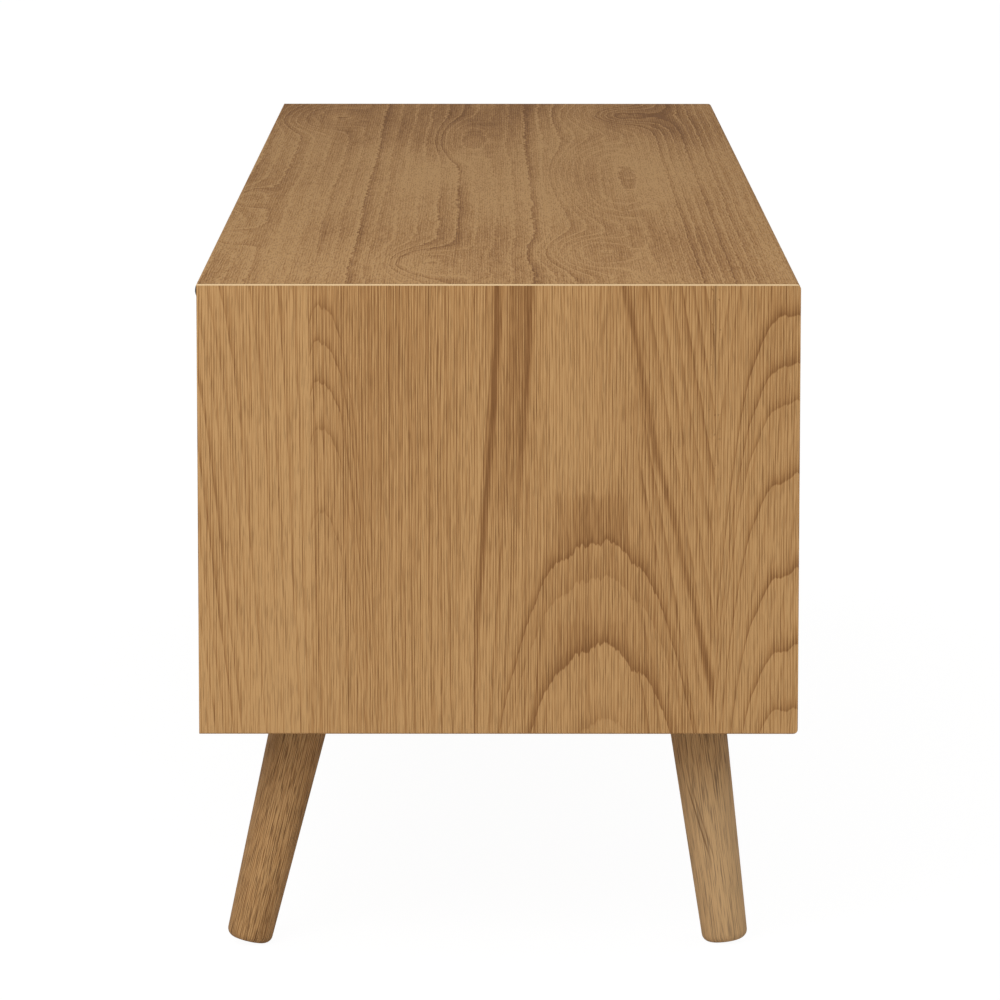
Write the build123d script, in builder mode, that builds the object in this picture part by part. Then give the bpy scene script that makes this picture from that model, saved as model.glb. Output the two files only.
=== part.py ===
"""A low oak media cabinet: two hinged doors, a drawer under an open niche, four turned legs.

Millimetres. X runs along the cabinet, the front faces -Y and +Z is up. The origin is on the
floor, under the middle of the overall box, knobs included.
"""

import os
from math import acos, atan, cos, pi, radians, sin, tan

from build123d import *

os.makedirs("parts", exist_ok=True)

# ---------------------------------------------------------------- driving dimensions

length = 1650
depth = 400
case_height = 302
leg_height = 160

board_thickness = 20
partition_thickness = 18
centre_bay_width = 530
niche_height = 112

back_thickness = 6
back_rebate = 8
back_recess = 6
rear_edge_radius = 3.3
front_edge_radius = 0.4
mitre_ease = 0.9

front_thickness = 18
front_gap = 1.5
front_ease = 0.6

knob_projection = 26
knob_ball_radius = 9.5
knob_inset = 46
knob_drop = 34

drawer_travel = 300

leg_end_inset = 90
front_leg_inset = 66
rear_leg_inset = 65
leg_top_radius = 19.6
leg_taper = 0.0258
foot_rounding = 6
front_leg_lean = 13.3
front_leg_end_lean = 2.8
rear_leg_lean = 7.5
rear_leg_end_lean = 0.8

# ---------------------------------------------------------------- derived places

case_bottom = leg_height
case_top = leg_height + case_height
front = (knob_projection - depth) / 2
rear = front + depth

outer_x = length / 2
inner_x = outer_x - board_thickness
inner_bottom = case_bottom + board_thickness
inner_top = case_top - board_thickness
inner_height = inner_top - inner_bottom

centre_bay_x = centre_bay_width / 2
side_bay_x = centre_bay_x + partition_thickness
side_bay_width = inner_x - side_bay_x
partition_x = centre_bay_x + partition_thickness / 2

back_front = rear - back_recess - back_thickness
niche_floor = inner_top - niche_height
drawer_bay_top = niche_floor - partition_thickness
front_rear = front + front_thickness

middle_y = (front + rear) / 2
fit = 0.05
side_signs = (-1, 1)
sides = (("left", -1), ("right", 1))

stand_up = (Align.CENTER, Align.CENTER, Align.MIN)
hang_down = (Align.CENTER, Align.CENTER, Align.MAX)
from_front = (Align.CENTER, Align.MIN, Align.CENTER)
from_front_up = (Align.CENTER, Align.MIN, Align.MIN)

# ---------------------------------------------------------------- fasteners, as shared shapes


def planes(spots, direction):
    """One plane at each spot, facing along the direction."""
    return [Plane(origin=spot, z_dir=direction) for spot in spots]


def rods(spots, direction, radius, rod_length):
    """Plain round rods in the active part, each starting at its spot."""
    with Locations(*planes(spots, direction)):
        Cylinder(radius, rod_length, align=stand_up)


def screw_holes(spots, direction, radius, screw_length):
    """Countersunk screws in the active part, with their flat heads at the spots."""
    head_radius = radius * 1.8
    with Locations(*planes(spots, direction)):
        Cone(head_radius, radius, head_radius - radius, align=stand_up)
        Cylinder(radius, screw_length, align=stand_up)


def screws(spots, direction, radius, screw_length):
    """Countersunk screws with a cross recess, in the active part."""
    screw_holes(spots, direction, radius, screw_length)
    slot_length = radius * 2
    slot_width = radius * 0.45
    slot_depth = radius * 0.8
    with Locations(*planes(spots, direction)):
        Box(slot_length, slot_width, slot_depth, align=stand_up, mode=Mode.SUBTRACT)
        Box(slot_width, slot_length, slot_depth, align=stand_up, mode=Mode.SUBTRACT)


# Radius and length of the screws for hinges and catches, slides, back panels and leg plates.
small_screw = (1.5, 15)
rail_screw = (1.5, 9)
back_screw = (1.75, 16)
plate_screw = (2.2, 15)
small_screw_hole = 17

# ---------------------------------------------------------------- case outline and joints

# The section is drawn with its own X running from front to rear, and its own Y upwards.
with BuildPart() as case_outline:
    with BuildSketch(Plane.YZ.offset(-outer_x)) as case_section:
        with Locations((middle_y, (case_bottom + case_top) / 2)):
            Rectangle(depth, case_height)
        fillet(case_section.vertices().group_by(Axis.X)[-1], rear_edge_radius)
        fillet(case_section.vertices().group_by(Axis.X)[0], front_edge_radius)
    extrude(amount=length)

with BuildPart() as back_rebates:
    with Locations((0, back_front, (case_bottom + case_top) / 2)):
        Box(
            2 * (inner_x + back_rebate),
            rear - back_front,
            inner_height + 2 * back_rebate,
            align=from_front,
        )

# The mitred corners are stiffened by plywood splines, square to the mitre.
spline_width = 20
spline_thickness = 4
spline_setback = 30
spline_from_inner_corner = 7


def splines(clearance):
    """The four mitre splines in the active part, thicker all round by the clearance."""
    for side_x in side_signs:
        for corner_z, side_z in ((inner_bottom, -1), (inner_top, 1)):
            corner = (
                side_x * (inner_x + spline_from_inner_corner),
                middle_y,
                corner_z + side_z * spline_from_inner_corner,
            )
            with Locations(Plane(origin=corner, x_dir=(side_x, 0, -side_z), z_dir=(0, 1, 0))):
                Box(
                    spline_width + 2 * clearance,
                    spline_thickness + 2 * clearance,
                    depth - 2 * spline_setback + 2 * clearance,
                )


with BuildPart() as mitre_splines:
    splines(0)
mitre_splines.part.label = "mitre_splines"
export_step(mitre_splines.part, "parts/mitre_splines.step")

with BuildPart() as spline_slots:
    splines(fit)

# Beech dowels join the partitions to the top and bottom, and the niche shelf to the partitions.
dowel_radius = 4
dowel_length = 30
dowel_in_board = 12
dowel_rows = (front + 45, (front + back_front) / 2, back_front - 45)


def dowels(radius, extra):
    """The case's dowels in the active part; extra lengthens them at both ends."""
    rod_length = dowel_length + 2 * extra
    for side_x in side_signs:
        low = [(side_x * partition_x, y, inner_bottom - dowel_in_board - extra) for y in dowel_rows]
        high = [(side_x * partition_x, y, inner_top + dowel_in_board + extra) for y in dowel_rows]
        shelf_z = drawer_bay_top + partition_thickness / 2
        shelf_x = side_x * (centre_bay_x + dowel_in_board + extra)
        rods(low, (0, 0, 1), radius, rod_length)
        rods(high, (0, 0, -1), radius, rod_length)
        rods([(shelf_x, y, shelf_z) for y in dowel_rows], (-side_x, 0, 0), radius, rod_length)


with BuildPart() as carcass_dowels:
    dowels(dowel_radius, 0)
carcass_dowels.part.label = "carcass_dowels"
export_step(carcass_dowels.part, "parts/carcass_dowels.step")

with BuildPart() as dowel_holes:
    dowels(dowel_radius + fit, 1)

# Shelf pins stand in rows of holes, so that the shelves can be set at three heights.
pin_radius = 2.5
pin_hole_depth = 9
pin_reach = 8
pin_collar_radius = 4
pin_collar_thickness = 0.9
pin_pitch = 32
pin_rows = (front + 105, back_front - 45)
pin_middle = (inner_bottom + inner_top) / 2 - 11
pin_heights = (pin_middle - pin_pitch, pin_middle, pin_middle + pin_pitch)


def pin_spots(height):
    """Where the pins enter the four bay walls at one height, with the way into the bay."""
    for side_x in side_signs:
        for wall_x, inwards in ((inner_x, -side_x), (side_bay_x, side_x)):
            for y in pin_rows:
                yield (side_x * wall_x, y, height), (inwards, 0, 0)


with BuildPart() as shelf_pins:
    for (x, y, z), inwards in pin_spots(pin_middle):
        tail = (x - inwards[0] * (pin_hole_depth - 1), y, z)
        rods([tail], inwards, pin_radius, pin_hole_depth - 1 + pin_reach)
        rods([(x, y, z)], inwards, pin_collar_radius, pin_collar_thickness)
shelf_pins.part.label = "shelf_pins"
export_step(shelf_pins.part, "parts/shelf_pins.step")

with BuildPart() as pin_holes:
    for height in pin_heights:
        for (x, y, z), inwards in pin_spots(height):
            tail = (x - inwards[0] * pin_hole_depth, y, z)
            rods([tail], inwards, pin_radius + fit, pin_hole_depth)

with BuildPart() as collar_notches:
    for spot, inwards in pin_spots(pin_middle):
        rods([spot], inwards, pin_collar_radius + 0.1, pin_collar_thickness + 0.2)

# ---------------------------------------------------------------- pivot hinges

pivot_radius = 2.5
pivot_x = inner_x - front_gap - front_thickness / 2
pivot_y = front + front_thickness / 2
leaf_width = 12
leaf_length = 42
leaf_thickness = 2.5
leaf_screw_steps = (16, 30)
washer_radius = 5.5
washer_thickness = front_gap - 0.1
door_bottom = inner_bottom + front_gap
door_top = inner_top - front_gap


def leaf(side_x, z, up, thickness, clearance=0.0):
    """A hinge leaf in the active part, round about the pivot, from z along up."""
    pivot = (side_x * pivot_x, pivot_y, z)
    with BuildSketch(Plane(origin=pivot, x_dir=(1, 0, 0), z_dir=(0, 0, up))) as leaf_outline:
        Circle(leaf_width / 2 + clearance)
        with Locations((-side_x * (leaf_length - leaf_width / 2) / 2, 0)):
            Rectangle(leaf_length - leaf_width / 2 + 2 * clearance, leaf_width + 2 * clearance)
    extrude(leaf_outline.sketch, amount=thickness)


def leaf_screw_spots(side_x, z):
    """Where the screws of a hinge leaf enter it."""
    return [(side_x * (pivot_x - step), pivot_y, z) for step in leaf_screw_steps]


case_pivots = (
    (inner_bottom, -1),
    (inner_top, 1),
)
door_pivots = (
    (door_bottom, 1),
    (door_top, -1),
)

with BuildPart() as case_pivot_holes:
    for side_x in side_signs:
        for z, outwards in case_pivots:
            rods([(side_x * pivot_x, pivot_y, z)], (0, 0, outwards), pivot_radius + fit, leaf_thickness)
            screw_holes(leaf_screw_spots(side_x, z), (0, 0, outwards), *small_screw)

with BuildPart() as case_pivot_plates:
    for side_x in side_signs:
        for z, outwards in case_pivots:
            leaf(side_x, z, outwards, leaf_thickness)
    add(case_pivot_holes.part, mode=Mode.SUBTRACT)
case_pivot_plates.part.label = "case_pivot_plates"
export_step(case_pivot_plates.part, "parts/case_pivot_plates.step")

with BuildPart() as pivot_washers:
    for side_x in side_signs:
        with Locations((side_x * pivot_x, pivot_y, inner_bottom + front_gap / 2)):
            Cylinder(washer_radius, washer_thickness)
            Cylinder(pivot_radius + fit, washer_thickness, mode=Mode.SUBTRACT)
pivot_washers.part.label = "pivot_washers"
export_step(pivot_washers.part, "parts/pivot_washers.step")

with BuildPart() as door_leaf_countersinks:
    for side_x in side_signs:
        for z, inwards in door_pivots:
            screw_holes(leaf_screw_spots(side_x, z), (0, 0, inwards), *small_screw)

pivot_pin_length = front_gap + leaf_thickness - 0.2

for side, side_x in sides:
    with BuildPart() as door_pivot_leaves:
        for z, inwards in door_pivots:
            leaf(side_x, z, inwards, leaf_thickness)
        add(door_leaf_countersinks.part, mode=Mode.SUBTRACT)
        for z, inwards in door_pivots:
            rods([(side_x * pivot_x, pivot_y, z)], (0, 0, -inwards), pivot_radius, pivot_pin_length)
    door_pivot_leaves.part.label = f"{side}_door_pivot_leaves"
    export_step(door_pivot_leaves.part, f"parts/{side}_door_pivot_leaves.step")

with BuildPart() as case_leaf_recesses:
    for side_x in side_signs:
        for z, outwards in case_pivots:
            leaf(side_x, z, outwards, leaf_thickness, fit)

with BuildPart() as door_leaf_recesses:
    for side_x in side_signs:
        for z, inwards in door_pivots:
            leaf(side_x, z, inwards, leaf_thickness, fit)

# ---------------------------------------------------------------- door catches

catch_x = side_bay_x + 52
catch_size = (40, 15, 12)
strike_thickness = 1.2
catch_front = front_rear + strike_thickness + 0.4
catch_screw_steps = (-14, 14)
magnet_size = (20, 5, 6)


def catch_screw_spots():
    """Where the catch screws go up through the two housings into the top panel."""
    under = inner_top - catch_size[2]
    catch_middle = catch_front + catch_size[1] / 2
    for side_x in side_signs:
        for step in catch_screw_steps:
            yield (side_x * catch_x + step, catch_middle, under)


catch_screw_length = catch_size[2] + 10
magnet_places = [(side_x * catch_x, catch_front, inner_top - catch_size[2] / 2) for side_x in side_signs]

with BuildPart() as catch_countersinks:
    screw_holes(list(catch_screw_spots()), (0, 0, 1), small_screw[0] + fit, catch_screw_length)


with BuildPart() as door_catches:
    with Locations(*[(side_x * catch_x, catch_front, inner_top) for side_x in side_signs]):
        Box(*catch_size, align=(Align.CENTER, Align.MIN, Align.MAX))
    chamfer(door_catches.faces().group_by(Axis.Z)[0].edges(), 1)
    with Locations(*magnet_places):
        Box(*magnet_size, align=from_front, mode=Mode.SUBTRACT)
    add(catch_countersinks.part, mode=Mode.SUBTRACT)
door_catches.part.label = "door_catches"
export_step(door_catches.part, "parts/door_catches.step")

with BuildPart() as catch_magnets:
    with Locations(*magnet_places):
        Box(magnet_size[0] - 0.2, magnet_size[1] - 0.1, magnet_size[2] - 0.2, align=from_front)
catch_magnets.part.label = "catch_magnets"
export_step(catch_magnets.part, "parts/catch_magnets.step")

# Small screws in the case: four pivot plates and two catches.
with BuildPart() as case_hardware_screws:
    for side_x in side_signs:
        for z, outwards in case_pivots:
            screws(leaf_screw_spots(side_x, z), (0, 0, outwards), *small_screw)
    screws(list(catch_screw_spots()), (0, 0, 1), small_screw[0], catch_screw_length)
case_hardware_screws.part.label = "case_hardware_screws"
export_step(case_hardware_screws.part, "parts/case_hardware_screws.step")

with BuildPart() as hardware_screw_holes:
    for side_x in side_signs:
        for z, outwards in case_pivots:
            rods(leaf_screw_spots(side_x, z), (0, 0, outwards), small_screw[0] + fit, small_screw_hole)
    rods(list(catch_screw_spots()), (0, 0, 1), small_screw[0] + fit, catch_screw_length + 1)

# ---------------------------------------------------------------- legs and their hardware

plate_size = 70
plate_thickness = 3
plate_corner = 8
plate_hole_spacing = 54
seat_margin = 0.8
seat_radius = leg_top_radius + 0.6
bolt_radius = 4
bolt_in_leg = 30
bolt_above_plate = 12


def leg_reach(lean):
    """How far a leg's foot lies down its axis, so that the foot's rounded edge just meets the floor."""
    inset = foot_rounding / tan(pi / 4 + atan(leg_taper) / 2)
    rise = foot_rounding * cos(lean) - foot_rounding + (inset - leg_top_radius) * sin(lean)
    return (leg_height + rise) / (cos(lean) - leg_taper * sin(lean))


# Each row's edge of the case, its inset from that edge, its way outwards and its leans.
leg_rows = {
    "front": (front, front_leg_inset, -1, front_leg_lean, front_leg_end_lean),
    "rear": (rear, rear_leg_inset, 1, rear_leg_lean, rear_leg_end_lean),
}


class LegPlace:
    """Where one leg stands: the point on its axis at the case's underside, and its way down."""

    def __init__(self, side_x, row):
        edge, inset, outwards, side_lean, end_lean = leg_rows[row]
        self.x = side_x * (outer_x - leg_end_inset)
        self.y = edge - outwards * inset
        spread = Vector(side_x * tan(radians(end_lean)), outwards * tan(radians(side_lean)), -1)
        self.down = spread.normalized()
        lean = acos(-self.down.Z)
        self.root = Vector(self.x, self.y, case_bottom)
        self.seat_drop = (plate_thickness + seat_radius * sin(lean) + seat_margin) / cos(lean)
        self.reach = leg_reach(lean)

    def plane_at(self, distance):
        """The plane square to the leg, at a distance down its axis, facing down the leg."""
        return Plane(origin=self.root + self.down * distance, x_dir=(1, 0, 0), z_dir=self.down)


leg_places = {(row, side): LegPlace(side_x, row) for row in ("front", "rear") for side, side_x in sides}

for (row, side), place in leg_places.items():
    leg_length = place.reach - place.seat_drop
    with BuildPart(place.plane_at(place.seat_drop)) as leg:
        Cone(
            leg_top_radius - leg_taper * place.seat_drop,
            leg_top_radius - leg_taper * place.reach,
            leg_length,
            align=stand_up,
        )
        leg_ends = leg.edges().filter_by(GeomType.CIRCLE).sort_by(Axis.Z)
        fillet(leg_ends[0], foot_rounding)
        leg_ends = leg.edges().filter_by(GeomType.CIRCLE).sort_by(Axis.Z)
        chamfer(leg_ends[-1], 0.8)
        Cylinder(bolt_radius + fit, bolt_in_leg + 2, align=stand_up, mode=Mode.SUBTRACT)
    leg.part.label = f"{row}_{side}_leg"
    export_step(leg.part, f"parts/{row}_{side}_leg.step")


def plate_screw_spots(place):
    """Where the four screws enter a leg plate, on its lower face."""
    half = plate_hole_spacing / 2
    for x in (-half, half):
        for y in (-half, half):
            yield (place.x + x, place.y + y, case_bottom - plate_thickness)


with BuildPart() as plate_countersinks:
    for place in leg_places.values():
        screw_holes(list(plate_screw_spots(place)), (0, 0, 1), plate_screw[0] + fit, 2 * plate_thickness)

# Each plate carries a wedge-shaped seat, square to its leg, with a threaded hole for the bolt.
for row in leg_rows:
    row_places = [leg_places[row, side] for side, side_x in sides]
    with BuildPart() as leg_plates:
        with BuildSketch(Plane.XY.offset(case_bottom - plate_thickness)) as plate_outlines:
            with Locations(*[(place.x, place.y) for place in row_places]):
                RectangleRounded(plate_size, plate_size, plate_corner)
        extrude(amount=plate_thickness)
        for place in row_places:
            with Locations(place.plane_at(place.seat_drop)):
                Cylinder(seat_radius, 2 * place.seat_drop, align=hang_down)
        with Locations((0, middle_y, case_bottom)):
            Box(length, depth, leg_height, align=hang_down, mode=Mode.INTERSECT)
        for place in row_places:
            with Locations(place.plane_at(-plate_size / 2)):
                Cylinder(bolt_radius + fit, plate_size, align=stand_up, mode=Mode.SUBTRACT)
        add(plate_countersinks.part, mode=Mode.SUBTRACT)
    leg_plates.part.label = f"{row}_leg_plates"
    export_step(leg_plates.part, f"parts/{row}_leg_plates.step")


def hanger_bolt_rods(radius, extra):
    """The four bolts in the active part, from inside each leg to above its plate."""
    for place in leg_places.values():
        with Locations(place.plane_at(-bolt_above_plate - extra)):
            Cylinder(
                radius,
                bolt_above_plate + extra + place.seat_drop + bolt_in_leg,
                align=stand_up,
            )


with BuildPart() as hanger_bolts:
    hanger_bolt_rods(bolt_radius, 0)
hanger_bolts.part.label = "hanger_bolts"
export_step(hanger_bolts.part, "parts/hanger_bolts.step")

with BuildPart() as leg_plate_screws:
    for place in leg_places.values():
        screws(list(plate_screw_spots(place)), (0, 0, 1), *plate_screw)
leg_plate_screws.part.label = "leg_plate_screws"
export_step(leg_plate_screws.part, "parts/leg_plate_screws.step")

with BuildPart() as underside_holes:
    hanger_bolt_rods(bolt_radius + 1, 1)
    for place in leg_places.values():
        rods(list(plate_screw_spots(place)), (0, 0, 1), plate_screw[0] + fit, plate_screw[1] + 1)

# ---------------------------------------------------------------- drawer slides

rail_length = 320
rail_z = inner_bottom + 60
rail_front = front_rear + 4
rail_space = 12.7
ball_radius = 1.6
ball_pitch = 35
balls_in_row = 5
first_ball = 15
rail_screw_steps = (35, 160, 285)

# Each rail member is a channel: sheet, web position, lip position and half height, measured from
# the partition towards the drawer. The lip of the drawer's member points back at the partition.
case_member = (1.2, 0, 11.3, 22.5)
middle_member = (1.0, 1.7, 11.0, 18.0)
drawer_member = (1.2, 12.7, 3.6, 13.6)


def channel(side_x, member):
    """One slide member in the active part, as a channel running from front to back."""
    sheet, web, lip, half_height = member
    towards_web = 1 if lip > web else -1
    wall = side_x * centre_bay_x
    outline = [(web, half_height), (lip, half_height), (lip, half_height - sheet)]
    outline.append((web + towards_web * sheet, half_height - sheet))
    outline += [(u, -v) for u, v in reversed(outline)]
    points = [(wall - side_x * u, rail_z + v) for u, v in outline]
    with BuildSketch(Plane.XZ.offset(-rail_front)) as section:
        with BuildLine():
            Polyline(*points, close=True)
        make_face()
    extrude(section.sketch, amount=rail_length, dir=(0, 1, 0))


def rail_screw_spots(side_x, offset):
    """Where a rail's screws enter its web, at an offset from the partition."""
    wall = side_x * (centre_bay_x - offset)
    return [(wall, rail_front + step, rail_z) for step in rail_screw_steps]


case_screw_offset = case_member[0]
drawer_screw_offset = drawer_member[1] - drawer_member[0]

with BuildPart() as case_rail_countersinks:
    for side_x in side_signs:
        screw_holes(rail_screw_spots(side_x, case_screw_offset), (side_x, 0, 0), *rail_screw)

with BuildPart() as drawer_rail_countersinks:
    for side_x in side_signs:
        screw_holes(rail_screw_spots(side_x, drawer_screw_offset), (-side_x, 0, 0), *rail_screw)

for side, side_x in sides:
    with BuildPart() as case_rail:
        channel(side_x, case_member)
        add(case_rail_countersinks.part, mode=Mode.SUBTRACT)
    case_rail.part.label = f"{side}_slide_case_rail"
    export_step(case_rail.part, f"parts/{side}_slide_case_rail.step")

    with BuildPart() as middle_rail:
        channel(side_x, middle_member)
    middle_rail.part.label = f"{side}_slide_middle_rail"
    export_step(middle_rail.part, f"parts/{side}_slide_middle_rail.step")

    with BuildPart() as drawer_rail:
        channel(side_x, drawer_member)
        add(drawer_rail_countersinks.part, mode=Mode.SUBTRACT)
    drawer_rail.part.label = f"{side}_slide_drawer_rail"
    export_step(drawer_rail.part, f"parts/{side}_slide_drawer_rail.step")

    # Two ball races each side: behind, between case and middle; in front, between middle and drawer.
    outer_race = (case_member[3] - case_member[0] + middle_member[3]) / 2
    inner_race = (middle_member[3] - middle_member[0] + drawer_member[3]) / 2
    with BuildPart() as slide_balls:
        ball_x = side_x * (centre_bay_x - rail_space / 2)
        for race, race_start in ((outer_race, drawer_travel / 2), (inner_race, 0)):
            ball_spots = [
                (ball_x, rail_front + race_start + first_ball + ball_pitch * step, rail_z + sign * race)
                for step in range(balls_in_row)
                for sign in (-1, 1)
            ]
            with Locations(*ball_spots):
                Sphere(ball_radius)
    slide_balls.part.label = f"{side}_slide_balls"
    export_step(slide_balls.part, f"parts/{side}_slide_balls.step")

with BuildPart() as case_rail_screws:
    for side_x in side_signs:
        screws(rail_screw_spots(side_x, case_screw_offset), (side_x, 0, 0), *rail_screw)
case_rail_screws.part.label = "case_rail_screws"
export_step(case_rail_screws.part, "parts/case_rail_screws.step")

with BuildPart() as drawer_rail_screws:
    for side_x in side_signs:
        screws(rail_screw_spots(side_x, drawer_screw_offset), (-side_x, 0, 0), *rail_screw)
drawer_rail_screws.part.label = "drawer_rail_screws"
export_step(drawer_rail_screws.part, "parts/drawer_rail_screws.step")

with BuildPart() as case_rail_holes:
    for side_x in side_signs:
        spots = rail_screw_spots(side_x, case_screw_offset)
        rods(spots, (side_x, 0, 0), rail_screw[0] + fit, rail_screw[1] + 1)

with BuildPart() as drawer_rail_holes:
    for side_x in side_signs:
        spots = rail_screw_spots(side_x, drawer_screw_offset)
        rods(spots, (-side_x, 0, 0), rail_screw[0] + fit, rail_screw[1] + 1)

# ---------------------------------------------------------------- back panels and cable ports

port_radius = 30
port_z = niche_floor + 54
side_bay_middle = (inner_x + side_bay_x) / 2
panel_fit = 0.3
back_edges = (-inner_x - back_rebate, -partition_x, partition_x, inner_x + back_rebate)
back_bottom = inner_bottom - back_rebate
back_top = inner_top + back_rebate
grommet_flange = 4
grommet_flange_thickness = 1.8
grommet_wall = 3
back_screw_margin = 4
back_screw_shares = (0.12, 0.5, 0.88)


def back_screw_spots():
    """Where the back panels' screws enter, along the top, the bottom and the upright edges."""
    outside = back_front + back_thickness
    for left_edge, right_edge in zip(back_edges, back_edges[1:]):
        for share in back_screw_shares:
            x = left_edge + share * (right_edge - left_edge)
            yield (x, outside, back_bottom + back_screw_margin)
            yield (x, outside, back_top - back_screw_margin)
        for x in (left_edge + back_screw_margin, right_edge - back_screw_margin):
            yield (x, outside, (inner_bottom + inner_top) / 2)


with BuildPart() as back_panel_screws:
    screws(list(back_screw_spots()), (0, -1, 0), *back_screw)
back_panel_screws.part.label = "back_panel_screws"
export_step(back_panel_screws.part, "parts/back_panel_screws.step")

with BuildPart() as back_screw_holes:
    screw_holes(list(back_screw_spots()), (0, -1, 0), back_screw[0] + fit, back_screw[1] + 1)

port_places = (-side_bay_middle, 0, side_bay_middle)
back_names = ("left_back_panel", "centre_back_panel", "right_back_panel")

for name, left_edge, right_edge, port_x in zip(back_names, back_edges, back_edges[1:], port_places):
    with BuildPart() as back_panel:
        with Locations(((left_edge + right_edge) / 2, back_front, (back_bottom + back_top) / 2)):
            Box(
                right_edge - left_edge - 2 * panel_fit,
                back_thickness,
                back_top - back_bottom - 2 * panel_fit,
                align=from_front,
            )
        with Locations(Plane(origin=(port_x, back_front, port_z), z_dir=(0, 1, 0))):
            Cylinder(port_radius, back_thickness, align=stand_up, mode=Mode.SUBTRACT)
        add(back_screw_holes.part, mode=Mode.SUBTRACT)
    back_panel.part.label = name
    export_step(back_panel.part, f"parts/{name}.step")

with BuildPart() as cable_grommets:
    sleeve_radius = port_radius - 0.2
    sleeve_length = back_thickness + grommet_flange_thickness
    for port_x in port_places:
        inner_face = (port_x, back_front - grommet_flange_thickness, port_z)
        with Locations(Plane(origin=inner_face, z_dir=(0, 1, 0))):
            Cylinder(port_radius + grommet_flange, grommet_flange_thickness, align=stand_up)
            Cylinder(sleeve_radius, sleeve_length, align=stand_up)
            Cylinder(sleeve_radius - grommet_wall, sleeve_length, align=stand_up, mode=Mode.SUBTRACT)
    flange_faces = cable_grommets.faces().group_by(Axis.Y)[0]
    fillet(flange_faces.edges(), 0.8)
cable_grommets.part.label = "cable_grommets"
export_step(cable_grommets.part, "parts/cable_grommets.step")

# ---------------------------------------------------------------- case boards


def mitred_corner(side_x, side_z):
    """The three points of an eased mitre: on the long face, on the bevel and at the inner corner."""
    outer_z = case_top if side_z > 0 else case_bottom
    inner_z = inner_top if side_z > 0 else inner_bottom
    on_bevel = (side_x * (outer_x - mitre_ease / 2), outer_z - side_z * mitre_ease / 2)
    return on_bevel, (side_x * inner_x, inner_z)


def finish_board():
    """Trim the active board to the case's outline, and cut the rebates and joints that all share."""
    add(case_outline.part, mode=Mode.INTERSECT)
    add(back_rebates.part, mode=Mode.SUBTRACT)
    add(spline_slots.part, mode=Mode.SUBTRACT)
    add(back_screw_holes.part, mode=Mode.SUBTRACT)


for name, side_z, outer_z in (("top_panel", 1, case_top), ("bottom_panel", -1, case_bottom)):
    right_bevel, right_corner = mitred_corner(1, side_z)
    left_bevel, left_corner = mitred_corner(-1, side_z)
    flat = outer_x - mitre_ease
    with BuildPart() as panel:
        with BuildSketch(Plane.XZ.offset(-rear)) as panel_section:
            with BuildLine():
                Polyline(
                    (-flat, outer_z),
                    (flat, outer_z),
                    right_bevel,
                    right_corner,
                    left_corner,
                    left_bevel,
                    close=True,
                )
            make_face()
        extrude(panel_section.sketch, amount=depth, dir=(0, -1, 0))
        finish_board()
        add(dowel_holes.part, mode=Mode.SUBTRACT)
        add(case_leaf_recesses.part, mode=Mode.SUBTRACT)
        add(hardware_screw_holes.part, mode=Mode.SUBTRACT)
        if name == "bottom_panel":
            add(underside_holes.part, mode=Mode.SUBTRACT)
    panel.part.label = name
    export_step(panel.part, f"parts/{name}.step")

for side, side_x in sides:
    upper_bevel, upper_corner = mitred_corner(side_x, 1)
    lower_bevel, lower_corner = mitred_corner(side_x, -1)
    with BuildPart() as end_panel:
        with BuildSketch(Plane.XZ.offset(-rear)) as end_section:
            with BuildLine():
                Polyline(
                    (side_x * outer_x, case_bottom + mitre_ease),
                    (side_x * outer_x, case_top - mitre_ease),
                    upper_bevel,
                    upper_corner,
                    lower_corner,
                    lower_bevel,
                    close=True,
                )
            make_face()
        extrude(end_section.sketch, amount=depth, dir=(0, -1, 0))
        finish_board()
        add(pin_holes.part, mode=Mode.SUBTRACT)
    end_panel.part.label = f"{side}_end_panel"
    export_step(end_panel.part, f"parts/{side}_end_panel.step")

    with BuildPart() as partition:
        with Locations((side_x * partition_x, front, inner_bottom)):
            Box(partition_thickness, back_front - front, inner_height, align=from_front_up)
        chamfer(partition.faces().sort_by(Axis.Y)[0].edges().filter_by(Axis.Z), front_ease)
        for holes in (dowel_holes, pin_holes, case_rail_holes, back_screw_holes):
            add(holes.part, mode=Mode.SUBTRACT)
    partition.part.label = f"{side}_partition"
    export_step(partition.part, f"parts/{side}_partition.step")

with BuildPart() as niche_shelf:
    with Locations((0, front, drawer_bay_top)):
        Box(centre_bay_width, back_front - front, partition_thickness, align=from_front_up)
    chamfer(niche_shelf.faces().sort_by(Axis.Y)[0].edges().filter_by(Axis.X), front_ease)
    add(dowel_holes.part, mode=Mode.SUBTRACT)
niche_shelf.part.label = "niche_shelf"
export_step(niche_shelf.part, "parts/niche_shelf.step")

shelf_gap = 1
shelf_front = front + 62
for side, side_x in sides:
    with BuildPart() as shelf:
        with Locations((side_x * side_bay_middle, shelf_front, pin_middle + pin_radius)):
            Box(
                side_bay_width - 2 * shelf_gap,
                back_front - shelf_front - 2,
                partition_thickness,
                align=from_front_up,
            )
        chamfer(shelf.faces().sort_by(Axis.Y)[0].edges(), front_ease)
        add(collar_notches.part, mode=Mode.SUBTRACT)
    shelf.part.label = f"{side}_shelf"
    export_step(shelf.part, f"parts/{side}_shelf.step")

# ---------------------------------------------------------------- knobs and their screws

knob_screw_radius = 2
knob_screw_reach = 9
door_knob_x = side_bay_x + front_gap + knob_inset
door_knob_z = door_top - knob_drop
drawer_middle_z = (inner_bottom + drawer_bay_top) / 2


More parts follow.
